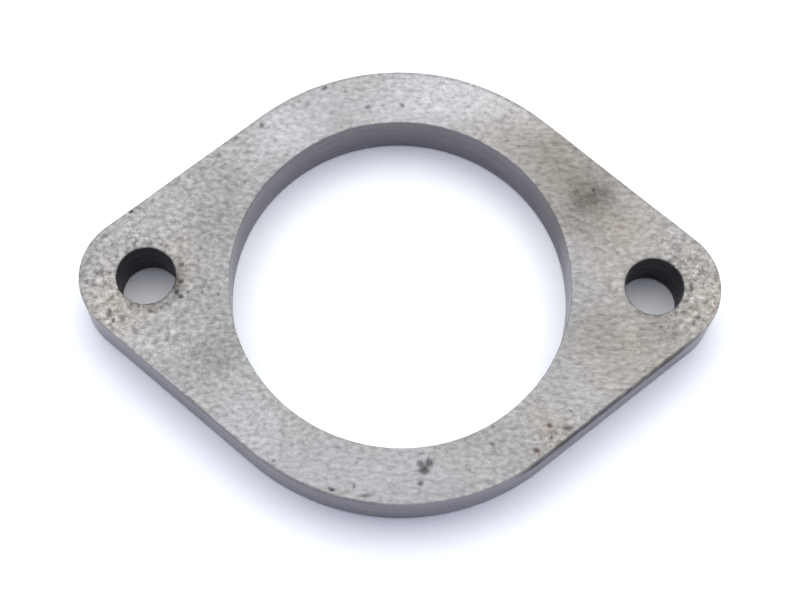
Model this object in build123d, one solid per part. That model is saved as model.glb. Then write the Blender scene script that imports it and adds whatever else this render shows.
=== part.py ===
from build123d import *
import os

# A two-bolt weld-on exhaust flange, cut as one piece from thick mild steel plate.
# A ring of metal surrounds the pipe bore, and an ear on each side carries one bolt hole.
# Straight flanks run tangent from the ring to the rounded ears. The rims are the only other
# form: the upper ones are rounded, most at the bolt holes and least along the outline, and
# the underside is broken by a small bevel.
#
# Frame: millimetres, +Z up through the bore, +X along the line of the two bolt holes.
# The origin is the centre of the bore in the gasket face, which the flange lies on.

# Driving dimensions, in millimetres
plate_thickness = 12.0
bore_diameter = 64.0
ring_width = 10.5  # metal between the bore and the outline, across the bolt line
bolt_spacing = 95.0  # between the centres of the two bolt holes
bolt_hole_diameter = 11.0
ear_wall = 6.5  # what the ear's radius adds to the bolt hole's
ear_offset = 0.5  # how far outboard of the bolt hole the ear's arc is struck
bore_rim_radius = 0.4
bolt_hole_rim_radius = 0.4
outline_rim_radius = 0.2
underside_bevel = 0.25

# Sizes worked out from them
bore_radius = bore_diameter / 2
ring_radius = bore_radius + ring_width
bolt_hole_radius = bolt_hole_diameter / 2
ear_radius = bolt_hole_radius + ear_wall
bolt_x = bolt_spacing / 2
ear_x = bolt_x + ear_offset


def flange_outline():
    """The closed outline: ring and ears as arcs, with straight flanks tangent to both."""
    with BuildSketch() as outline:
        Circle(ring_radius)
        with Locations((-ear_x, 0), (ear_x, 0)):
            Circle(ear_radius)
        make_hull()
    return outline.sketch


def flange_holes():
    """The pipe bore and the two bolt holes."""
    with BuildSketch() as holes:
        Circle(bore_radius)
        with Locations((-bolt_x, 0), (bolt_x, 0)):
            Circle(bolt_hole_radius)
    return holes.sketch


def upper_face(plate):
    """The flat face on top, where the nuts sit, which shrinks as its rims are dressed."""
    return plate.faces().sort_by(Axis.Z)[-1]


def hole_rims(plate):
    """The rims of the holes in the upper face, the bore first and then the two bolt holes."""
    return upper_face(plate).inner_wires().sort_by(SortBy.LENGTH, reverse=True)


def flange_plate():
    """The whole flange as one solid, with every rim dressed."""
    plate = extrude(flange_outline() - flange_holes(), amount=plate_thickness)
    plate = fillet(upper_face(plate).outer_wire().edges(), outline_rim_radius)
    plate = fillet(hole_rims(plate)[0].edges(), bore_rim_radius)
    plate = fillet(ShapeList(rim.edge() for rim in hole_rims(plate)[1:]), bolt_hole_rim_radius)
    return chamfer(plate.faces().sort_by(Axis.Z)[0].edges(), underside_bevel)


os.makedirs("parts", exist_ok=True)
export_step(flange_plate(), "parts/flange_plate.step")
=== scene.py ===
import logging
import math
import random
from collections.abc import Callable, Mapping
from dataclasses import dataclass, field
from enum import Enum
from typing import Any

import bmesh
import bpy
from mathutils import Matrix, Vector, noise
from mathutils.kdtree import KDTree


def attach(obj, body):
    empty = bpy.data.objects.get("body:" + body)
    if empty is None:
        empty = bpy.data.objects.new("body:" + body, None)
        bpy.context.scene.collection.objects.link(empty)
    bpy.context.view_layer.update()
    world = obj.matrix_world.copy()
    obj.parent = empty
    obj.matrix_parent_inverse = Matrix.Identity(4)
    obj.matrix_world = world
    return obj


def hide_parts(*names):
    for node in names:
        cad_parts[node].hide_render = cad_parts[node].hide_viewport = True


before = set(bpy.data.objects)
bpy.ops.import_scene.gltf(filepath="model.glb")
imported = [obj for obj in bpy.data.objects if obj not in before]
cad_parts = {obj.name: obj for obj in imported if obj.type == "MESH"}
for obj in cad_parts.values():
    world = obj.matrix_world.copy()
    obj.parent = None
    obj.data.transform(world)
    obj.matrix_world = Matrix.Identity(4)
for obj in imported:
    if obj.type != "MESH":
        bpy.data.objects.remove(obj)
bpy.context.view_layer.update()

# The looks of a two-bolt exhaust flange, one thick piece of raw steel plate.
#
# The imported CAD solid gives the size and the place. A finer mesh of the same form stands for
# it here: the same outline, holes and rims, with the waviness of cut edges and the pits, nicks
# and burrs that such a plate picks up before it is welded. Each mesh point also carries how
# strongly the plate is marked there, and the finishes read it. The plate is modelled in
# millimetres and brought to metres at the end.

MM = 0.001
PICTURE_WIDTH = 800
log = logging.getLogger("flange")


def linear(colour: str) -> tuple[float, float, float, float]:
    """Turns an sRGB hex colour into the linear one that shaders take.

    Args:
        colour: The colour, as in "#8c8a88".

    Returns:
        Red, green, blue and an alpha of 1.
    """
    parts = [int(colour[i:i + 2], 16) / 255 for i in (1, 3, 5)]
    red, green, blue = (p / 12.92 if p <= 0.04045 else ((p + 0.055) / 1.055) ** 2.4 for p in parts)
    return red, green, blue, 1.0


def add_node(
    tree: bpy.types.NodeTree,
    kind: str,
    settings: Mapping[str | int, Any] | None = None,
    links: Mapping[str | int, bpy.types.NodeSocket] | None = None,
) -> bpy.types.Node:
    """Adds a node with its settings and what feeds it.

    Args:
        tree: The node tree of a material or the world.
        kind: The node's type, without the leading ShaderNode.
        settings: Values of the node's own options, or of its sockets by name or number.
        links: For each socket, by name or number, the output that feeds it.

    Returns:
        The new node.
    """
    node = tree.nodes.new(f"ShaderNode{kind}")
    for name, value in (settings or {}).items():
        if isinstance(name, str) and hasattr(node, name):
            setattr(node, name, value)
        else:
            node.inputs[name].default_value = value
    for name, source in (links or {}).items():
        tree.links.new(source, node.inputs[name])
    return node


class Mark(Enum):
    """What a mesh point can carry for the finishes to read, each as a named attribute."""

    PIT = "pit"
    FLECK = "fleck"
    RUST = "rust"
    # stains and scale, and the painted shade round the bolt-hole rims
    STAIN = "stain"
    # paler rubbed patches: rubbed wear with a painted sheen
    RUBBED = "rubbed"
    WARMTH = "warmth"
    SPECKLE = "speckle"
    STREAK = "streak"


@dataclass(frozen=True)
class Dent:
    """A pit, nick or raised fleck of the upper face, placed in the plate's millimetres."""

    x: float
    y: float
    length: float
    width: float
    depth: float  # below the face, or above it where negative
    turn: float = 0.0  # of its length from +X, in degrees
    shade: float = 1.0  # from 1, a dark pit, to -1, a bright fleck
    rust: float = 0.0

    def share(self, point: Vector) -> float:
        """How much of the dent's depth reaches a point.

        Args:
            point: A place on the plate, in millimetres.

        Returns:
            From 0, outside it, to 1, at its bottom.
        """
        away_x, away_y = point.x - self.x, point.y - self.y
        lean = math.radians(self.turn)
        along = (away_x * math.cos(lean) + away_y * math.sin(lean)) / self.length * 2
        across = (away_y * math.cos(lean) - away_x * math.sin(lean)) / self.width * 2
        ragged = 1 + 0.4 * noise.noise(Vector((point.x * 1.9, point.y * 1.9, self.x)))
        reach = math.hypot(along, across) * ragged
        return (1 - reach * reach) ** 1.2 if reach < 1 else 0.0


@dataclass(frozen=True)
class Patch:
    """A soft-edged area of the plate where one of the marks is stronger."""

    mark: Mark
    x: float
    y: float
    radius: float
    strength: float
    stretch: float = 1.0  # how much longer it is along its turn than across
    turn: float = 0.0  # in degrees

    def share(self, point: Vector) -> float:
        """The mark's strength at a point.

        Args:
            point: A place on the plate, in millimetres.

        Returns:
            The patch's own strength in its middle, fading to 0.
        """
        warp = noise.noise_vector(Vector((point.x, point.y, self.radius)) / self.radius * 0.9) * self.radius * 0.6
        away_x, away_y = point.x + warp.x - self.x, point.y + warp.y - self.y
        lean = math.radians(self.turn)
        along = (away_x * math.cos(lean) + away_y * math.sin(lean)) / self.stretch
        across = away_y * math.cos(lean) - away_x * math.sin(lean)
        return self.strength * math.exp(-(along * along + across * across) / self.radius ** 2)


@dataclass(frozen=True)
class Scatter:
    """Small pits and flecks strewn at random over a round area of the face."""

    x: float
    y: float
    radius: float
    count: int
    size: float
    depth: float
    seed: int

    def dents(self) -> list[Dent]:
        """Makes the pits, every third one a bright fleck.

        Returns:
            As many dents as the scatter counts.
        """
        dice = random.Random(self.seed)
        found = []
        for i in range(self.count):
            away, turn = self.radius * math.sqrt(dice.random()), dice.uniform(0, math.tau)
            length = self.size * dice.uniform(0.7, 1.5)
            side = -0.6 if i % 3 == 0 else 1.0
            found.append(Dent(
                self.x + away * math.cos(turn), self.y + away * math.sin(turn), length, length * dice.uniform(0.5, 0.8),
                self.depth * side * dice.uniform(0.5, 1.0), dice.uniform(-40, 40), side * dice.uniform(0.15, 0.45),
            ))
        return found


@dataclass(frozen=True)
class PlateFace:
    """Hot-rolled mild steel with its scale pickled off: dull grey, with a fine mottled grain.

    The acid leaves light and dark flecks half a millimetre wide, drawn out along the rolling
    direction, and the plate shows soot stains, paler rubbed patches with a painted sheen,
    spots of new rust, and painted shade round the rims of the bolt holes.
    """

    dark_fleck: str = "#6e6c6a"
    pale_fleck: str = "#a1a09f"
    # multiplied over stains, and over the painted shade round the bolt-hole rims
    soot: str = "#9c9894"
    # screened over the rubbed patches: a painted sheen as well as wear
    rubbed: str = "#64636b"
    warm: str = "#fff8ea"
    new_rust: str = "#6b4a38"
    pit_shadow: str = "#464442"
    bare_metal: str = "#bfbbb4"
    roughness: float = 0.58
    grain_size: tuple[float, float] = (1.2 * MM, 0.85 * MM)
    streak_size: tuple[float, float] = (1.9 * MM, 0.8 * MM)
    cloud_size: float = 9.0 * MM
    speck_size: float = 0.95 * MM
    relief: float = 0.03 * MM

    def material(self) -> bpy.types.Material:
        """Makes the face's material.

        Returns:
            The finished material.
        """
        made = bpy.data.materials.new("pickled_steel_face")
        made.use_nodes = True
        tree = made.node_tree
        shader = tree.nodes["Principled BSDF"]
        place = add_node(tree, "TexCoord").outputs["Object"]
        marks = {mark: add_node(tree, "Attribute", {"attribute_name": mark.value}).outputs["Fac"] for mark in Mark}
        mottle = self.mottle(tree, place, marks)
        specks = add_node(tree, "TexNoise", {"Scale": 1 / self.speck_size, "Detail": 2.0, "Roughness": 0.6}, {"Vector": place})
        tone = self.plain_tone(tree, place, mottle, marks)
        tone = self.marked_tone(tree, tone, specks.outputs["Fac"], marks)
        tree.links.new(tone, shader.inputs["Base Color"])
        rusted = add_node(tree, "MapRange", {3: 1.0, 4: 0.2}, {0: marks[Mark.RUST]})
        tree.links.new(rusted.outputs[0], shader.inputs["Metallic"])
        dull = add_node(tree, "MapRange", {1: 0.0, 2: 1.0, 3: self.roughness, 4: 0.85}, {0: marks[Mark.PIT]})
        tree.links.new(dull.outputs[0], shader.inputs["Roughness"])
        bump = add_node(tree, "Bump", {"Strength": 0.5, "Distance": self.relief}, {"Height": mottle})
        tree.links.new(bump.outputs[0], shader.inputs["Normal"])
        return made

    def mottle(
        self, tree: bpy.types.NodeTree, place: bpy.types.NodeSocket, marks: dict[Mark, bpy.types.NodeSocket]
    ) -> bpy.types.NodeSocket:
        """Adds the grain, which turns from flecks into longer streaks where the plate is brushed.

        Args:
            tree: The material's node tree.
            place: The point on the plate.
            marks: What each mark's attribute gives.

        Returns:
            The grain's height, about 0.5 on average.
        """
        layers = []
        for length, width in (self.grain_size, self.streak_size):
            drawn = add_node(tree, "Mapping", {"Scale": (1 / length, 1 / width, 1 / width)}, {"Vector": place})
            layer = add_node(
                tree, "TexNoise", {"Scale": 1.0, "Detail": 2.0, "Roughness": 0.6, "Distortion": 0.25},
                {"Vector": drawn.outputs[0]},
            )
            layers.append(layer.outputs["Fac"])
        return add_node(tree, "Mix", {}, {0: marks[Mark.STREAK], 2: layers[0], 3: layers[1]}).outputs[0]

    def plain_tone(
        self,
        tree: bpy.types.NodeTree,
        place: bpy.types.NodeSocket,
        mottle: bpy.types.NodeSocket,
        marks: dict[Mark, bpy.types.NodeSocket],
    ) -> bpy.types.NodeSocket:
        """Adds the grain's two greys, with more contrast where the plate is speckled.

        Args:
            tree: The material's node tree.
            place: The point on the plate.
            mottle: The grain's height.
            marks: What each mark's attribute gives.

        Returns:
            The colour of the unmarked plate.
        """
        crisp = add_node(
            tree, "Math", {"operation": "MULTIPLY_ADD", "use_clamp": True, 1: 0.6},
            {0: marks[Mark.STREAK], 2: marks[Mark.SPECKLE]},
        ).outputs[0]
        low = add_node(tree, "MapRange", {3: 0.25, 4: 0.36}, {0: crisp})
        high = add_node(tree, "MapRange", {3: 0.75, 4: 0.64}, {0: crisp})
        level = add_node(tree, "MapRange", {}, {0: mottle, 1: low.outputs[0], 2: high.outputs[0]})
        grain = add_node(
            tree, "Mix", {"data_type": "RGBA", 6: linear(self.dark_fleck), 7: linear(self.pale_fleck)},
            {0: level.outputs[0]},
        )
        cloud = add_node(tree, "TexNoise", {"Scale": 1 / self.cloud_size, "Detail": 2.0}, {"Vector": place})
        shade = add_node(tree, "MapRange", {1: 0.3, 2: 0.7, 3: 0.94, 4: 1.06}, {0: cloud.outputs["Fac"]})
        return add_node(
            tree, "Mix", {"data_type": "RGBA", "blend_type": "MULTIPLY", 0: 1.0},
            {6: grain.outputs[2], 7: shade.outputs[0]},
        ).outputs[2]

    def marked_tone(
        self,
        tree: bpy.types.NodeTree,
        tone: bpy.types.NodeSocket,
        specks: bpy.types.NodeSocket,
        marks: dict[Mark, bpy.types.NodeSocket],
    ) -> bpy.types.NodeSocket:
        """Lays the marks over the plain plate, from the softest to the smallest.

        Args:
            tree: The material's node tree.
            tone: The colour of the unmarked plate.
            specks: A noise for the specks and for the marks' ragged edges.
            marks: What each mark's attribute gives.

        Returns:
            The finished colour.
        """
        dark_speck = add_node(tree, "MapRange", {1: 0.42, 2: 0.32}, {0: specks})
        pale_speck = add_node(tree, "MapRange", {1: 0.58, 2: 0.68}, {0: specks})
        ragged = add_node(tree, "MapRange", {1: 0.3, 2: 0.6, 3: 0.5, 4: 1.2}, {0: specks})
        for blend, colour, mark, cut in (
            # the rubbed patches are screened paler: rubbed wear with a painted sheen
            ("SCREEN", self.rubbed, Mark.RUBBED, None),
            # the stain multiply also lays the painted shade round the bolt-hole rims
            ("MULTIPLY", self.soot, Mark.STAIN, None),
            ("MULTIPLY", self.warm, Mark.WARMTH, None),
            ("MIX", self.pit_shadow, Mark.SPECKLE, dark_speck),
            ("MIX", self.bare_metal, Mark.SPECKLE, pale_speck),
            ("MIX", self.new_rust, Mark.RUST, ragged),
            ("MIX", self.pit_shadow, Mark.PIT, ragged),
            ("MIX", self.bare_metal, Mark.FLECK, ragged),
        ):
            share = marks[mark]
            if cut:
                share = add_node(tree, "Math", {"operation": "MULTIPLY", "use_clamp": True}, {0: share, 1: cut.outputs[0]}).outputs[0]
            tone = add_node(
                tree, "Mix", {"data_type": "RGBA", "blend_type": blend, 7: linear(colour)}, {0: share, 6: tone}
            ).outputs[2]
        return tone


@dataclass(frozen=True)
class CutWall:
    """The cut edge of the plate, dressed with a file: darker and bluer than the face.

    Faint level scratches run round it, its top is a little warmer than its foot, and dark
    scale is left along the top in places.
    """

    foot: str = "#706b72"
    top: str = "#6c686c"
    scale_left: str = "#2d2c30"
    roughness: float = 0.30
    scratch_size: tuple[float, float] = (16 * MM, 1.5 * MM)
    fleck_size: float = 1.1 * MM
    thickness: float = 12 * MM

    def material(self) -> bpy.types.Material:
        """Makes the cut wall's material.

        Returns:
            The finished material.
        """
        made = bpy.data.materials.new("cut_steel_wall")
        made.use_nodes = True
        tree = made.node_tree
        shader = tree.nodes["Principled BSDF"]
        place = add_node(tree, "TexCoord").outputs["Object"]
        height = add_node(tree, "SeparateXYZ", {}, {0: place}).outputs["Z"]
        level = add_node(tree, "MapRange", {1: 0.0, 2: self.thickness}, {0: height})
        tone = add_node(
            tree, "Mix", {"data_type": "RGBA", 6: linear(self.foot), 7: linear(self.top)}, {0: level.outputs[0]}
        )
        length, width = self.scratch_size
        drawn = add_node(tree, "Mapping", {"Scale": (1 / length, 1 / length, 1 / width)}, {"Vector": place})
        scratch = add_node(tree, "TexNoise", {"Scale": 1.0, "Detail": 3.0, "Roughness": 0.65}, {"Vector": drawn.outputs[0]})
        fleck = add_node(tree, "TexNoise", {"Scale": 1 / self.fleck_size, "Detail": 2.0}, {"Vector": place})
        both = add_node(tree, "Mix", {0: 0.25}, {2: scratch.outputs["Fac"], 3: fleck.outputs["Fac"]})
        shade = add_node(tree, "MapRange", {1: 0.3, 2: 0.7, 3: 0.75, 4: 1.25}, {0: both.outputs[0]})
        shaded = add_node(
            tree, "Mix", {"data_type": "RGBA", "blend_type": "MULTIPLY", 0: 1.0},
            {6: tone.outputs[2], 7: shade.outputs[0]},
        )
        scale = add_node(tree, "Attribute", {"attribute_name": Mark.STAIN.value})
        scaled = add_node(
            tree, "Mix", {"data_type": "RGBA", 7: linear(self.scale_left)}, {0: scale.outputs["Fac"], 6: shaded.outputs[2]}
        )
        tree.links.new(scaled.outputs[2], shader.inputs["Base Color"])
        bare = add_node(tree, "MapRange", {3: 1.0, 4: 0.0}, {0: scale.outputs["Fac"]})
        tree.links.new(bare.outputs[0], shader.inputs["Metallic"])
        dull = add_node(tree, "MapRange", {3: self.roughness, 4: 0.9}, {0: scale.outputs["Fac"]})
        tree.links.new(dull.outputs[0], shader.inputs["Roughness"])
        bump = add_node(tree, "Bump", {"Strength": 0.4, "Distance": 0.02 * MM}, {"Height": both.outputs[0]})
        tree.links.new(bump.outputs[0], shader.inputs["Normal"])
        return made


@dataclass(frozen=True)
class DrilledHole:
    """The wall of a drilled hole: nearly black, with paler turned rings."""

    oil: str = "#1d1a20"
    ring: str = "#3d393f"
    roughness: float = 0.5
    ring_pitch: float = 1.3 * MM
    ring_length: float = 30 * MM

    def material(self) -> bpy.types.Material:
        """Makes the bolt holes' material.

        Returns:
            The finished material.
        """
        made = bpy.data.materials.new("drilled_steel_hole")
        made.use_nodes = True
        tree = made.node_tree
        shader = tree.nodes["Principled BSDF"]
        shader.inputs["Metallic"].default_value = 1.0
        place = add_node(tree, "TexCoord").outputs["Object"]
        drawn = add_node(
            tree, "Mapping", {"Scale": (1 / self.ring_length, 1 / self.ring_length, 1 / self.ring_pitch)}, {"Vector": place}
        )
        rings = add_node(tree, "TexNoise", {"Scale": 1.0, "Detail": 2.0, "Roughness": 0.6}, {"Vector": drawn.outputs[0]})
        level = add_node(tree, "MapRange", {1: 0.35, 2: 0.65}, {0: rings.outputs["Fac"]})
        tone = add_node(
            tree, "Mix", {"data_type": "RGBA", 6: linear(self.oil), 7: linear(self.ring)}, {0: level.outputs[0]}
        )
        tree.links.new(tone.outputs[2], shader.inputs["Base Color"])
        shader.inputs["Roughness"].default_value = self.roughness
        bump = add_node(tree, "Bump", {"Strength": 0.6, "Distance": 0.04 * MM}, {"Height": rings.outputs["Fac"]})
        tree.links.new(bump.outputs[0], shader.inputs["Normal"])
        return made


@dataclass(frozen=True)
class Outline:
    """The flange seen from above: a ring and two ears, with flanks tangent to both."""

    ring_radius: float = 42.5
    ear_radius: float = 12.0
    ear_x: float = 48.0
    bore_radius: float = 32.0
    hole_radius: float = 5.5
    hole_x: float = 47.5
    seam_x: float = 38.0  # where the ring's mesh meets the ear's

    @property
    def flank_turn(self) -> float:
        """The direction that the upper right flank faces, from +X, in radians."""
        return math.acos((self.ring_radius - self.ear_radius) / self.ear_x)

    def outward(self, point: Vector) -> Vector:
        """The level direction away from the metal at a point on the outline.

        Args:
            point: A point on or near the outline.

        Returns:
            A level direction of length 1.
        """
        x, y = abs(point.x), abs(point.y)
        turn = self.flank_turn
        if math.atan2(y, x) < turn:
            turn = min(turn, math.atan2(y, x - self.ear_x))
        else:
            turn = math.atan2(y, x)
        return Vector((math.copysign(math.cos(turn), point.x), math.copysign(math.sin(turn), point.y), 0))

    def inset(self, point: Vector) -> float:
        """How far inside the outline a point lies.

        Args:
            point: A point on the plate.

        Returns:
            The distance to the outline, in millimetres.
        """
        away = self.outward(point)
        reach = abs(point.x) * abs(away.x) + abs(point.y) * abs(away.y)
        if math.acos(min(1.0, abs(away.x))) < self.flank_turn - 1e-6:
            return self.ear_radius + self.ear_x * abs(away.x) - reach
        return self.ring_radius - reach

    def seam_points(self, inset: float, steps: int) -> list[Vector]:
        """The upper half of the line that parts ring from ear, from the middle up.

        Args:
            inset: How far the face's edge lies inside the outline.
            steps: How many mesh edges the line has.

        Returns:
            One point more than there are steps.
        """
        turn = self.flank_turn
        top = (self.ring_radius - inset - self.seam_x * math.cos(turn)) / math.sin(turn)
        lean = math.atan2(top, self.seam_x)
        return [Vector((self.seam_x, self.seam_x * math.tan(lean * i / steps), 0)) for i in range(steps + 1)]

    def edge_points(
        self, radius: float, centre_x: float, turns: tuple[float, float], end: Vector, steps: int
    ) -> list[Vector]:
        """Evenly spaced points along an arc and the straight flank that leaves it.

        Args:
            radius: The arc's radius.
            centre_x: Where on the X axis its centre is.
            turns: The arc's first and last direction, in radians. The flank leaves at the last.
            end: Where the flank ends.
            steps: How many mesh edges the line has.

        Returns:
            One point more than there are steps.
        """
        first, last = turns
        leave = Vector((centre_x + radius * math.cos(last), radius * math.sin(last), 0))
        arc = radius * abs(last - first)
        flank = (end - leave).length
        points = []
        for i in range(steps + 1):
            run = (arc + flank) * i / steps
            if run < arc:
                turn = first + (last - first) * run / arc
                points.append(Vector((centre_x + radius * math.cos(turn), radius * math.sin(turn), 0)))
            else:
                points.append(leave.lerp(end, (run - arc) / flank))
        return points


NICKS = (  # along the far edge, from the left ear to the top
    Dent(-50.9, 12.6, 1.1, 0.7, 0.15, 40),
    Dent(-34.9, 24.3, 1.0, 0.8, 0.08, 60, 0.5),
    Dent(-31.8, 28.0, 1.1, 0.7, 0.20, 36, 0.8),
    Dent(-27.1, 30.8, 1.3, 1.0, 0.18, -46, 0.6, 0.3),
    Dent(-18.6, 35.1, 1.6, 1.0, 0.08, 21, 0.4),
    Dent(-20.0, 35.7, 1.0, 0.6, 0.08, 8, 0.5),
    Dent(-15.3, 38.8, 1.5, 0.8, 0.18, 21, 0.65, 0.4),
    Dent(-11.2, 38.2, 1.2, 0.6, 0.06, -5, 0.4),
)

TOP_PITS = (
    Dent(-6.9, 34.9, 1.9, 1.2, 0.08, 14, 0.45),
    Dent(-3.9, 35.4, 1.2, 0.8, 0.06, 0, 0.35),
    Dent(-0.3, 35.6, 1.4, 0.9, 0.10, -70, 0.55),
)

BOTTOM_PITS = (
    Dent(4.1, -34.9, 1.9, 1.9, 0.14, 0, 0.62),
    Dent(5.8, -34.7, 1.7, 2.3, 0.18, 20, 0.75),
    Dent(4.9, -36.0, 2.5, 2.3, 0.22, 44, 0.85),
    Dent(4.2, -33.0, 1.9, 0.7, 0.08, 0, 0.5),
    Dent(4.2, -38.5, 1.2, 1.1, 0.16, 0, 0.75),
    Dent(-11.8, -39.9, 1.7, 0.9, 0.18, -23, 0.9),
    Dent(-7.8, -39.3, 1.9, 0.7, 0.08, 88, 0.45),
    Dent(-5.5, -40.9, 3.6, 0.8, 0.08, 5, 0.45),
    Dent(-10.9, -32.2, 1.4, 0.7, 0.08, -6, 0.5),
    Dent(-22.5, -34.8, 0.9, 0.7, 0.06, 0, 0.4, 0.5),
    Dent(17.2, -30.9, 1.4, 0.8, 0.10, -25, 0.6),
    Dent(-1.5, -38.0, 0.7, 0.6, -0.05, 0, -0.6),
)

RUSTY_PITS = (  # on the lower right flank
    Dent(27.6, -27.2, 1.3, 0.9, 0.12, 0, 0.5, 0.9),
    Dent(28.0, -29.4, 1.0, 0.8, 0.08, 0, 0.4, 0.5),
    Dent(25.3, -31.9, 1.6, 0.9, 0.12, -12, 0.55, 0.9),
    Dent(31.3, -27.6, 2.5, 1.0, 0.12, 6, 0.55, 0.2),
    Dent(31.6, -24.4, 1.2, 0.7, 0.08, -20, 0.5),
    Dent(31.6, -26.5, 1.7, 0.7, -0.05, 18, -0.5),
    Dent(25.5, -25.1, 1.8, 0.7, -0.04, -8, -0.4),
    Dent(34.2, -17.7, 0.9, 0.7, 0.07, 6, 0.5),
    Dent(35.6, -18.8, 1.0, 0.7, 0.07, -18, 0.4),
    Dent(45.4, -16.5, 0.9, 0.8, 0.08, -44, 0.4),
    Dent(36.3, 18.9, 1.0, 0.8, 0.10, -49, 0.6),
)

HOLE_BURRS = (  # torn up round the left hole by the drill
    Dent(-41.6, -3.0, 1.4, 0.9, 0.16, 60, 0.77),
    Dent(-40.9, -1.0, 1.3, 0.9, 0.14, 34, 0.68),
    Dent(-40.8, -4.0, 1.3, 1.0, 0.16, -19, 0.77),
    Dent(-41.0, 2.3, 1.2, 0.8, 0.12, -8, 0.59, 0.5),
    Dent(-44.3, -6.2, 1.0, 0.7, 0.12, 38, 0.68),
    Dent(-46.2, -7.0, 1.7, 0.6, 0.12, 13, 0.59),
    Dent(-48.5, -6.0, 0.9, 0.8, 0.12, 80, 0.59),
    Dent(-49.8, -5.6, 0.8, 0.7, 0.10, 50, 0.51),
    Dent(-44.1, 5.8, 1.3, 0.7, 0.10, 32, 0.51),
    Dent(-46.9, 6.3, 0.9, 0.7, 0.10, 0, 0.51),
    Dent(-50.0, 6.3, 1.1, 0.8, 0.10, 54, 0.42),
    Dent(-53.2, 3.6, 0.9, 0.6, 0.10, 70, 0.59),
    Dent(-39.6, 3.0, 1.2, 0.9, -0.08, 41, -0.59, 0.3),
    Dent(-39.2, -2.2, 1.5, 0.7, -0.06, 13, -0.42),
    Dent(-42.8, -7.7, 1.0, 0.7, -0.06, 0, -0.42),
)

LEFT_EAR_PITS = (
    Dent(-53.9, -7.4, 2.6, 1.0, 0.16, 85, 0.6),
    Dent(-53.0, -8.9, 1.2, 0.8, 0.18, 82, 0.75),
    Dent(-51.7, -8.2, 1.6, 0.9, 0.12, -8, 0.45),
    Dent(-55.9, 0.4, 1.7, 1.5, 0.10, -55, 0.38),
    Dent(-55.1, -1.8, 1.5, 0.7, 0.10, 60, 0.38),
    Dent(-55.5, 7.6, 1.9, 0.7, 0.10, -13, 0.38),
    Dent(-54.1, 6.0, 1.3, 0.8, 0.10, 29, 0.38),
    Dent(-58.3, -1.4, 1.2, 0.9, 0.10, -51, 0.45),
    Dent(-49.0, -10.5, 1.5, 0.6, 0.10, 3, 0.45),
    Dent(-33.9, -3.3, 1.0, 0.8, 0.08, -14, 0.38),
    Dent(-37.9, 3.1, 1.0, 0.8, 0.08, -15, 0.38),
    Dent(-54.0, -9.2, 1.6, 1.0, -0.10, 54, -0.75),
    Dent(-55.4, -7.9, 2.0, 0.8, -0.08, -26, -0.6),
    Dent(-50.2, -11.3, 2.0, 0.9, -0.08, 50, -0.6),
    Dent(-55.5, 2.7, 1.7, 1.1, -0.08, -21, -0.6),
    Dent(-55.9, -1.1, 1.7, 0.9, -0.06, 37, -0.45),
    Dent(-42.0, -10.9, 1.4, 1.1, -0.10, 70, -0.68),
    Dent(-49.7, 7.9, 1.3, 0.9, -0.06, -42, -0.52),
    Dent(-55.2, 6.7, 1.8, 0.7, -0.06, -14, -0.45),
)

RIGHT_EAR_PITS = (
    Dent(54.4, -0.1, 2.4, 0.9, 0.14, -88, 0.48),
    Dent(52.8, -5.0, 1.5, 0.8, 0.12, 5, 0.42),
    Dent(55.5, -6.0, 1.4, 0.8, 0.14, 0, 0.48, 0.3),
    Dent(54.7, -7.2, 1.0, 0.6, 0.10, -3, 0.3, 0.3),
    Dent(57.2, -3.1, 1.1, 0.9, 0.10, -10, 0.36),
    Dent(52.6, 4.9, 1.5, 1.0, 0.10, 13, 0.36),
    Dent(58.9, 1.6, 1.3, 0.9, 0.08, -79, 0.24),
    Dent(56.0, 5.2, 1.8, 0.6, 0.08, -17, 0.24),
    Dent(55.2, -4.3, 1.8, 0.9, 0.04, 10, 0.06, 0.3),
    Dent(54.3, -8.2, 1.9, 1.0, -0.10, 20, -0.54),
    Dent(56.0, -2.1, 1.8, 0.9, -0.08, -3, -0.48),
    Dent(55.2, 6.8, 2.6, 0.8, -0.06, -1, -0.3),
    Dent(55.5, 2.8, 1.5, 0.9, -0.06, 80, -0.36),
    Dent(56.9, 0.3, 3.2, 0.8, -0.05, -7, -0.3),
    Dent(51.2, 10.7, 1.9, 0.7, -0.05, 10, -0.36),
)

SCATTERS = (
    Scatter(-52.0, -1.0, 9.5, 80, 0.8, 0.06, 3),
    Scatter(-43.0, -8.0, 9.0, 25, 0.7, 0.05, 5),
    Scatter(53.5, 0.0, 9.5, 70, 0.7, 0.04, 8),
    Scatter(0.0, 0.0, 58.0, 300, 0.7, 0.04, 11),
)

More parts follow.
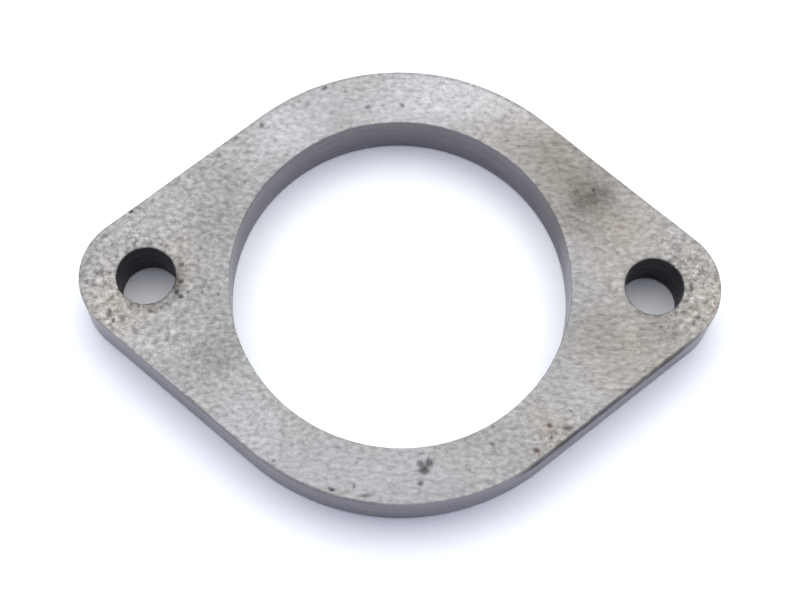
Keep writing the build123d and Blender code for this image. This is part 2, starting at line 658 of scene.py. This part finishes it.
PATCHES = (
    Patch(Mark.STAIN, 36.0, 19.0, 4.2, 0.52),
    Patch(Mark.STAIN, 29.5, 24.0, 6.5, 0.36, 1.9, -40),
    Patch(Mark.STAIN, 33.0, 13.0, 6.0, 0.25),
    Patch(Mark.STAIN, -35.5, -15.5, 4.5, 0.30, 1.3),
    Patch(Mark.STAIN, -33.0, 13.0, 7.0, 0.20, 1.3, 70),
    Patch(Mark.STAIN, 38.0, -10.0, 5.0, 0.22, 1.6),
    Patch(Mark.STAIN, 49.0, -9.0, 3.5, 0.18),
    Patch(Mark.STAIN, -40.5, -1.0, 3.0, 0.18),
    Patch(Mark.STAIN, 30.0, -28.5, 2.5, 0.20),
    Patch(Mark.STAIN, -12.0, 33.5, 2.5, 0.15, 1.4),
    # paler rubbed patches: rubbed wear with a painted sheen
    Patch(Mark.RUBBED, 15.0, 37.0, 5.5, 0.86, 2.2, -22),
    Patch(Mark.RUBBED, 2.0, 37.0, 6.5, 0.50, 2.2),
    Patch(Mark.RUBBED, 11.0, 40.0, 3.0, 0.60, 4.0, -17),
    Patch(Mark.RUBBED, 0.0, 34.0, 3.0, 0.25, 4.0),
    Patch(Mark.RUBBED, -22.0, 30.0, 5.5, 0.76, 1.7, 35),
    Patch(Mark.RUBBED, -25.0, -31.0, 6.5, 0.45, 2.0, -38),
    Patch(Mark.RUBBED, -2.0, -37.0, 6.0, 0.38, 3.0),
    Patch(Mark.RUBBED, 32.0, -22.0, 6.0, 0.38, 1.5, 35),
    Patch(Mark.RUBBED, -49.0, -11.0, 5.0, 0.42, 2.2, -32),
    Patch(Mark.RUBBED, -47.0, 10.0, 4.0, 0.15, 1.8, 30),
    Patch(Mark.RUBBED, 46.0, 13.0, 3.0, 0.10, 2.0, -32),
    Patch(Mark.RUBBED, 44.0, -17.0, 3.0, 0.10, 2.0, 35),
    Patch(Mark.WARMTH, 30.0, 24.0, 9.0, 0.8, 1.6, -40),
    Patch(Mark.WARMTH, 44.0, -12.0, 9.0, 0.7, 1.4, 30),
    Patch(Mark.WARMTH, 57.0, 0.0, 6.0, 0.6),
    Patch(Mark.WARMTH, 42.0, 10.0, 8.0, 0.6),
    Patch(Mark.WARMTH, 28.0, -28.0, 4.0, 0.7),
    Patch(Mark.WARMTH, -54.0, -6.0, 7.0, 0.8),
    Patch(Mark.WARMTH, -42.0, 3.0, 5.0, 0.4),
    Patch(Mark.SPECKLE, -53.0, -3.0, 8.0, 0.5, 1.2, 70),
    Patch(Mark.SPECKLE, -45.0, -12.0, 5.0, 0.3, 2.0, -35),
    Patch(Mark.SPECKLE, -44.0, 8.0, 7.0, 0.3),
    Patch(Mark.SPECKLE, 54.0, 0.0, 9.0, 0.6),
    Patch(Mark.SPECKLE, 30.0, -28.0, 5.0, 0.3, 1.8, 38),
    Patch(Mark.SPECKLE, 12.0, 37.5, 5.0, 0.40, 3.0, -15),
    Patch(Mark.SPECKLE, 35.0, 17.0, 6.0, 0.15),
    Patch(Mark.STREAK, 45.0, 0.0, 16.0, 0.7, 1.2),
    Patch(Mark.STREAK, 30.0, 24.0, 12.0, 0.6),
    Patch(Mark.STREAK, 0.0, 37.0, 6.0, 0.7, 3.0),
    Patch(Mark.STREAK, -5.0, -37.0, 6.0, 0.6, 4.0),
    Patch(Mark.STREAK, 38.0, -20.0, 10.0, 0.6, 1.5),
)


@dataclass(frozen=True)
class ScaleLeft:
    """Dark mill scale left along the outer edge, on the rim of the face or the top of the wall."""

    first: float  # where along the edge it runs, in degrees from +X about the bore's centre
    last: float
    inset: float  # how far in from the outline it reaches on the face
    drop: float  # how far down the wall it reaches
    strength: float

    def share(self, point: Vector, inset: float, drop: float) -> float:
        """How dark the scale is at a point.

        Args:
            point: A place on the plate, in millimetres.
            inset: How far inside the outline it lies.
            drop: How far below the upper face it lies.

        Returns:
            From 0 to the scale's own strength.
        """
        turn = math.degrees(math.atan2(point.y, point.x)) % 360
        end = min(turn - self.first, self.last - turn) / 6
        if end <= 0 or inset > self.inset or drop > self.drop:
            return 0.0
        fade = min(1.0, 0.5 + inset / 0.4 + drop, 2.5 * (1 - inset / self.inset)) * min(1.0, 2 * (1 - drop / self.drop))
        ragged = 0.75 + 0.5 * noise.noise(point * 0.6)
        return self.strength * min(1.0, end) * fade * ragged


@dataclass(frozen=True)
class OilRing:
    """Painted shade on the face round part of a bolt hole's rim, darkest at the rim."""

    x: float  # where on the X axis the hole is
    first: float  # where round the hole it runs, in degrees from +X
    last: float
    width: float
    strength: float
    hole_radius: float = 5.5

    def share(self, point: Vector) -> float:
        """How dark the painted shade is at a point.

        Args:
            point: A place on the plate, in millimetres.

        Returns:
            From 0 to the ring's own strength.
        """
        away = math.hypot(point.x - self.x, point.y) - self.hole_radius
        turn = math.degrees(math.atan2(point.y, point.x - self.x)) % 360
        middle, half = (self.first + self.last) / 2, (self.last - self.first) / 2
        off = abs((turn - middle + 180) % 360 - 180)
        if away > self.width or off >= half:
            return 0.0
        ragged = 0.8 + 0.6 * noise.noise(point * 0.7)
        return self.strength * (1 - max(0.0, away) / self.width) * min(1.0, (half - off) / 25) * ragged


# painted shade round the bolt holes' rims, heaviest on their near side
OIL_RINGS = (
    OilRing(-47.5, 0, 360, 0.8, 0.45),
    OilRing(-47.5, 250, 390, 2.4, 0.95),
    OilRing(-47.5, 190, 290, 1.3, 0.60),
    OilRing(-47.5, 60, 130, 1.2, 0.30),
    OilRing(47.5, 0, 360, 0.8, 0.40),
    OilRing(47.5, 190, 300, 1.4, 0.50),
    OilRing(47.5, -50, 60, 1.8, 0.35),
)

EDGE_SCALE = (
    ScaleLeft(55, 98, 0.7, 0.5, 0.50),
    ScaleLeft(94, 145, 0.7, 0.4, 0.20),
    ScaleLeft(15, 60, 0.8, 0.4, 0.15),
    ScaleLeft(165, 205, 0.6, 0.5, 0.15),
    ScaleLeft(300, 352, 0.4, 4.2, 1.1),
    ScaleLeft(205, 268, 0.3, 1.6, 0.45),
)


@dataclass
class FlangePlate:
    """The flange itself: two faces, the walls between them and their dressed rims."""

    name: str = "flange_body"
    outline: Outline = field(default_factory=Outline)
    thickness: float = 12.0
    bore_rim: float = 0.15
    hole_rim: float = 0.3
    edge_rim: float = 0.15
    underside_bevel: float = 0.25
    seam_steps: int = 60
    ring_steps: int = 120
    ear_steps: int = 95
    ring_rows: int = 36
    ear_rows: int = 50
    rim_rows: int = 3
    wall_rows: int = 12

    def build(self) -> bpy.types.Object:
        """Models the plate and gives it its finishes.

        Returns:
            The finished object, in the plate's own frame.
        """
        bm = bmesh.new()
        self.add_face(bm)
        self.add_walls(bm)
        self.wave_edges(bm)
        self.press_marks(bm)
        bmesh.ops.scale(bm, verts=bm.verts, vec=(MM, MM, MM))
        mesh = bpy.data.meshes.new(self.name)
        bm.to_mesh(mesh)
        bm.free()
        for finish in (PlateFace(), CutWall(), DrilledHole()):
            mesh.materials.append(finish.material())
        piece = bpy.data.objects.new(self.name, mesh)
        bpy.context.scene.collection.objects.link(piece)
        return piece

    def add_sheet(self, bm: bmesh.types.BMesh, rows: int, outer: list[Vector], inner: list[Vector]) -> None:
        """Adds one flat ring of quads between an opening and a loop of points around it.

        Args:
            bm: The mesh to add to.
            rows: How many rows of faces lie between the opening and the loop.
            outer: The loop's points, in order.
            inner: As many points on the opening's rim, in the same order.
        """
        count = len(outer)
        sheet = bmesh.new()
        for radius in (1.0, 2.0):
            bmesh.ops.create_circle(sheet, segments=count, radius=radius)
        spokes = bmesh.ops.bridge_loops(sheet, edges=list(sheet.edges))["edges"]
        bmesh.ops.subdivide_edges(sheet, edges=spokes, cuts=rows - 1)
        for v in sheet.verts:
            spoke = round(math.atan2(-v.co.x, v.co.y) / math.tau * count) % count  # the circles start at +Y
            v.co = inner[spoke].lerp(outer[spoke], v.co.length - 1.0)
        whole = bpy.data.meshes.new("sheet")
        sheet.to_mesh(whole)
        sheet.free()
        bm.from_mesh(whole)
        bpy.data.meshes.remove(whole)

    def add_face(self, bm: bmesh.types.BMesh) -> None:
        """Adds the upper face as a fine sheet: the ring and an ear on each side, welded.

        Args:
            bm: The mesh to add to.
        """
        plan = self.outline
        inset = self.edge_rim
        seam = plan.seam_points(inset, self.seam_steps)
        turn = plan.flank_turn
        ring = plan.edge_points(plan.ring_radius - inset, 0, (math.pi / 2, turn), seam[-1], self.ring_steps)
        quarter = seam + ring[-2::-1]
        half = quarter + [Vector((-p.x, p.y, 0)) for p in quarter[-2::-1]]
        loop = half + [Vector((p.x, -p.y, 0)) for p in half[-2:0:-1]]
        bore = plan.bore_radius + self.bore_rim
        self.add_sheet(bm, self.ring_rows, loop, [p.normalized() * bore for p in loop])

        ear = plan.edge_points(plan.ear_radius - inset, plan.ear_x, (0, turn), seam[-1], self.ear_steps)
        half = ear + seam[-2::-1]
        loop = half + [Vector((p.x, -p.y, 0)) for p in half[-2:0:-1]]
        hole = plan.hole_radius + self.hole_rim
        turns = [math.tau * i / len(loop) for i in range(len(loop))]
        rim = [Vector((plan.hole_x + hole * math.cos(a), hole * math.sin(a), 0)) for a in turns]
        for side in (1, -1):
            outer, inner = ([Vector((p.x * side, p.y, 0)) for p in points] for points in (loop, rim))
            self.add_sheet(bm, self.ear_rows, outer, inner)
        bmesh.ops.remove_doubles(bm, verts=bm.verts, dist=0.001)
        bmesh.ops.translate(bm, verts=bm.verts, vec=(0, 0, self.thickness))

    def add_walls(self, bm: bmesh.types.BMesh) -> None:
        """Carries every open edge of the face over its rim and down its wall, and closes the underside.

        Args:
            bm: The mesh to add to.
        """
        plan = self.outline
        open_edges = [e for e in bm.edges if e.is_boundary]
        centres = [Vector((x, 0, 0)) for x in (0, plan.hole_x, -plan.hole_x)]
        reaches = (plan.bore_radius + self.bore_rim, plan.hole_radius + self.hole_rim, plan.hole_radius + self.hole_rim)
        rims = (self.bore_rim, self.hole_rim, self.hole_rim)
        taken: set[bmesh.types.BMEdge] = set()
        floor_edges: list[bmesh.types.BMEdge] = []
        for centre, reach, rim, slot in zip(centres, reaches, rims, (1, 2, 2)):
            loop = [
                e for e in open_edges
                if all(abs((v.co.xy - centre.xy).length - reach) < 0.01 for v in e.verts)
            ]
            taken.update(loop)
            floor_edges += self.carry_down(bm, loop, rim, lambda p: -(p - centre).xy.to_3d().normalized(), slot)
        loop = [e for e in open_edges if e not in taken]
        floor_edges += self.carry_down(bm, loop, self.edge_rim, plan.outward, 1)
        bmesh.ops.triangle_fill(bm, edges=floor_edges, use_beauty=True)
        bmesh.ops.recalc_face_normals(bm, faces=bm.faces)
        for face in bm.faces:
            face.smooth = face.calc_center_median().z > self.underside_bevel

    def carry_down(
        self,
        bm: bmesh.types.BMesh,
        edges: list[bmesh.types.BMEdge],
        rim: float,
        outward: Callable[[Vector], Vector],
        slot: int,
    ) -> list[bmesh.types.BMEdge]:
        """Extrudes a loop around its rim, down the wall and in along the lower bevel.

        Args:
            bm: The mesh to add to.
            edges: The open loop at the face.
            rim: The rounded rim's radius.
            outward: Gives the level direction away from the metal at a point of the loop.
            slot: The material slot of the wall.

        Returns:
            The loop's edges at the underside.
        """
        bevel = self.underside_bevel
        turns = [math.pi / 2 * i / self.rim_rows for i in range(self.rim_rows + 1)]
        profile = [(rim * math.sin(a), rim * (1 - math.cos(a))) for a in turns]
        wall = self.thickness - rim - bevel
        profile += [(rim, rim + wall * i / self.wall_rows) for i in range(1, self.wall_rows + 1)]
        profile.append((rim - bevel, self.thickness))
        for row, ((out0, down0), (out1, down1)) in enumerate(zip(profile, profile[1:])):
            made = bmesh.ops.extrude_edge_only(bm, edges=edges)["geom"]
            edges = [g for g in made if isinstance(g, bmesh.types.BMEdge)]
            edges = [e for e in edges if e.is_boundary]
            verts = {v for e in edges for v in e.verts}
            for g in made:
                if isinstance(g, bmesh.types.BMFace):
                    g.material_index = slot if row >= self.rim_rows else 0
            for v in verts:
                v.co += outward(v.co) * (out1 - out0) - Vector((0, 0, down1 - down0))
        return edges

    def wave_edges(self, bm: bmesh.types.BMesh) -> None:
        """Moves rims and walls in and out by a few hundredths, as cut edges are.

        Args:
            bm: The mesh to change.
        """
        bm.normal_update()
        for v in bm.verts:
            level = v.normal.xy.length
            if level > 0.3 and v.co.z > self.underside_bevel * 1.5:
                wave = 0.07 * noise.noise(v.co * 0.13) + 0.035 * noise.noise(v.co * 0.8)
                v.co += v.normal * wave * level

    def press_marks(self, bm: bmesh.types.BMesh) -> None:
        """Presses the pits and the grain into the face, and notes every mark on the mesh points.

        Args:
            bm: The mesh to change.
        """
        layers = {mark: bm.verts.layers.float.new(mark.value) for mark in Mark}
        bm.normal_update()
        verts = [v for v in bm.verts if v.co.z > self.underside_bevel * 1.5]
        tree = KDTree(len(verts))
        for i, v in enumerate(verts):
            tree.insert(v.co, i)
        tree.balance()
        for patch in PATCHES:
            for _, i, _ in tree.find_range((patch.x, patch.y, self.thickness), patch.radius * 2.5 * patch.stretch):
                verts[i][layers[patch.mark]] += patch.share(verts[i].co)
        for v in verts:
            if abs(v.normal.z) < 0.99 or self.outline.inset(v.co) < 1.0:
                inset, drop = max(0.0, self.outline.inset(v.co)), self.thickness - v.co.z
                v[layers[Mark.STAIN]] += max(s.share(v.co, inset, drop) for s in EDGE_SCALE)
            # painted shade round the bolt-hole rims, laid into the stain attribute
            if abs(v.co.x) > 38:
                v[layers[Mark.STAIN]] += max(ring.share(v.co) for ring in OIL_RINGS)
            v.co += v.normal * 0.010 * noise.noise(Vector((v.co.x * 0.8, v.co.y * 1.2, v.co.z)))
        dents = [*NICKS, *TOP_PITS, *BOTTOM_PITS, *RUSTY_PITS, *HOLE_BURRS, *LEFT_EAR_PITS, *RIGHT_EAR_PITS]
        for scatter in SCATTERS:
            dents += scatter.dents()
        for dent in dents:
            mark = Mark.PIT if dent.shade > 0 else Mark.FLECK
            for _, i, _ in tree.find_range((dent.x, dent.y, self.thickness), dent.length):
                v = verts[i]
                share = dent.share(v.co)
                if share > 0:
                    v.co -= v.normal * dent.depth * share
                    v[layers[mark]] = max(v[layers[mark]], share * abs(dent.shade))
                    v[layers[Mark.RUST]] = max(v[layers[Mark.RUST]], share * dent.rust)


@dataclass(frozen=True)
class Studio:
    """A white sheet under an even, slightly blue sky, with one large soft lamp above and behind."""

    floor_size: float = 4.0
    sky: float = 0.35
    sky_tint: tuple[float, float, float, float] = (0.93, 0.96, 1.12, 1.0)
    lamp_tint: tuple[float, float, float] = (1.04, 1.02, 0.94)
    lamp_size: tuple[float, float] = (1.6, 1.1)
    lamp_power: float = 10.2
    lamp_place: tuple[float, float, float] = (0.0, 0.51, 0.8)
    floor_colour: tuple[float, float, float, float] = (0.9, 0.9, 0.9, 1.0)
    floor_shown: tuple[float, float, float, float] = (1.39, 1.44, 1.53, 1.0)

    def build(self) -> None:
        """Adds the floor, the sky and the lamp."""
        self.add_floor()
        self.add_sky()
        self.add_lamp()

    def add_floor(self) -> None:
        """Adds the white floor, which shows a little lighter to the camera so that it ends white."""
        bm = bmesh.new()
        bmesh.ops.create_grid(bm, x_segments=1, y_segments=1, size=self.floor_size / 2)
        bmesh.ops.translate(bm, verts=bm.verts, vec=(0, 0, -0.02 * MM))
        mesh = bpy.data.meshes.new("floor")
        bm.to_mesh(mesh)
        bm.free()
        floor = bpy.data.objects.new("floor", mesh)
        bpy.context.scene.collection.objects.link(floor)
        paper = bpy.data.materials.new("white_paper")
        paper.use_nodes = True
        tree = paper.node_tree
        tree.nodes.remove(tree.nodes["Principled BSDF"])
        level = add_node(
            tree, "Mix", {"data_type": "RGBA", 6: self.floor_colour, 7: self.floor_shown}, {0: self.shown(tree)}
        )
        sheet = add_node(tree, "BsdfDiffuse", {"Roughness": 0.0}, {"Color": level.outputs[2]})
        tree.links.new(sheet.outputs[0], tree.nodes["Material Output"].inputs["Surface"])
        mesh.materials.append(paper)

    def shown(self, tree: bpy.types.NodeTree) -> bpy.types.NodeSocket:
        """Adds what tells rays that show the background from those that light the plate.

        Args:
            tree: The node tree of the floor or the world.

        Returns:
            1 for the camera's own rays and those seen in metal or glass, otherwise 0.
        """
        ray = add_node(tree, "LightPath")
        seen = add_node(
            tree, "Math", {"operation": "MAXIMUM"},
            {0: ray.outputs["Is Camera Ray"], 1: ray.outputs["Is Glossy Ray"]},
        )
        return add_node(
            tree, "Math", {"operation": "MAXIMUM"}, {0: seen.outputs[0], 1: ray.outputs["Is Transmission Ray"]}
        ).outputs[0]

    def add_sky(self) -> None:
        """Lights the scene evenly from all round, and shows as white."""
        world = bpy.data.worlds.new("white_studio")
        world.use_nodes = True
        bpy.context.scene.world = world
        tree = world.node_tree
        sky = tree.nodes["Background"]
        sky.inputs["Color"].default_value = self.sky_tint
        level = add_node(tree, "MapRange", {3: self.sky, 4: 1.0}, {0: self.shown(tree)})
        tree.links.new(level.outputs[0], sky.inputs["Strength"])

    def add_lamp(self) -> None:
        """Adds the soft lamp, which shines straight down."""
        data = bpy.data.lights.new("soft_lamp", "AREA")
        data.shape = "RECTANGLE"
        data.size, data.size_y = self.lamp_size
        data.energy = self.lamp_power
        data.color = self.lamp_tint
        lamp = bpy.data.objects.new("soft_lamp", data)
        lamp.location = self.lamp_place
        bpy.context.scene.collection.objects.link(lamp)


@dataclass(frozen=True)
class PhotoCamera:
    """The camera of the photograph, worked out from the plate's outline and holes in it."""

    aim: tuple[float, float, float] = (0.098 * MM, 0.097 * MM, 0.0)
    distance: float = 381.37 * MM
    azimuth: float = -2.287
    elevation: float = 72.25
    roll: float = 3.39
    focal_pixels: float = 1981.84

    def build(self) -> None:
        """Adds the camera and makes it the scene's own."""
        data = bpy.data.cameras.new("photo_camera")
        data.sensor_width = 36.0
        data.lens = data.sensor_width * self.focal_pixels / PICTURE_WIDTH
        data.clip_start = 0.01
        camera = bpy.data.objects.new("photo_camera", data)
        turn = (
            Matrix.Rotation(math.radians(self.azimuth), 4, "Z")
            @ Matrix.Rotation(math.radians(90 - self.elevation), 4, "X")
            @ Matrix.Rotation(math.radians(self.roll), 4, "Z")
        )
        camera.matrix_world = Matrix.Translation(self.aim) @ turn @ Matrix.Translation((0, 0, self.distance))
        bpy.context.scene.collection.objects.link(camera)
        bpy.context.scene.camera = camera


def main() -> None:
    """Builds the flange and its studio."""
    logging.basicConfig(level=logging.INFO, format="%(name)s: %(message)s")
    bpy.context.scene.view_settings.view_transform = "Standard"
    plate = FlangePlate()
    body = plate.build()
    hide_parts("flange_plate")
    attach(body, "root")
    log.info("%s: %d faces", body.name, len(body.data.polygons))
    Studio().build()
    PhotoCamera().build()


if __name__ == "__main__":
    main()
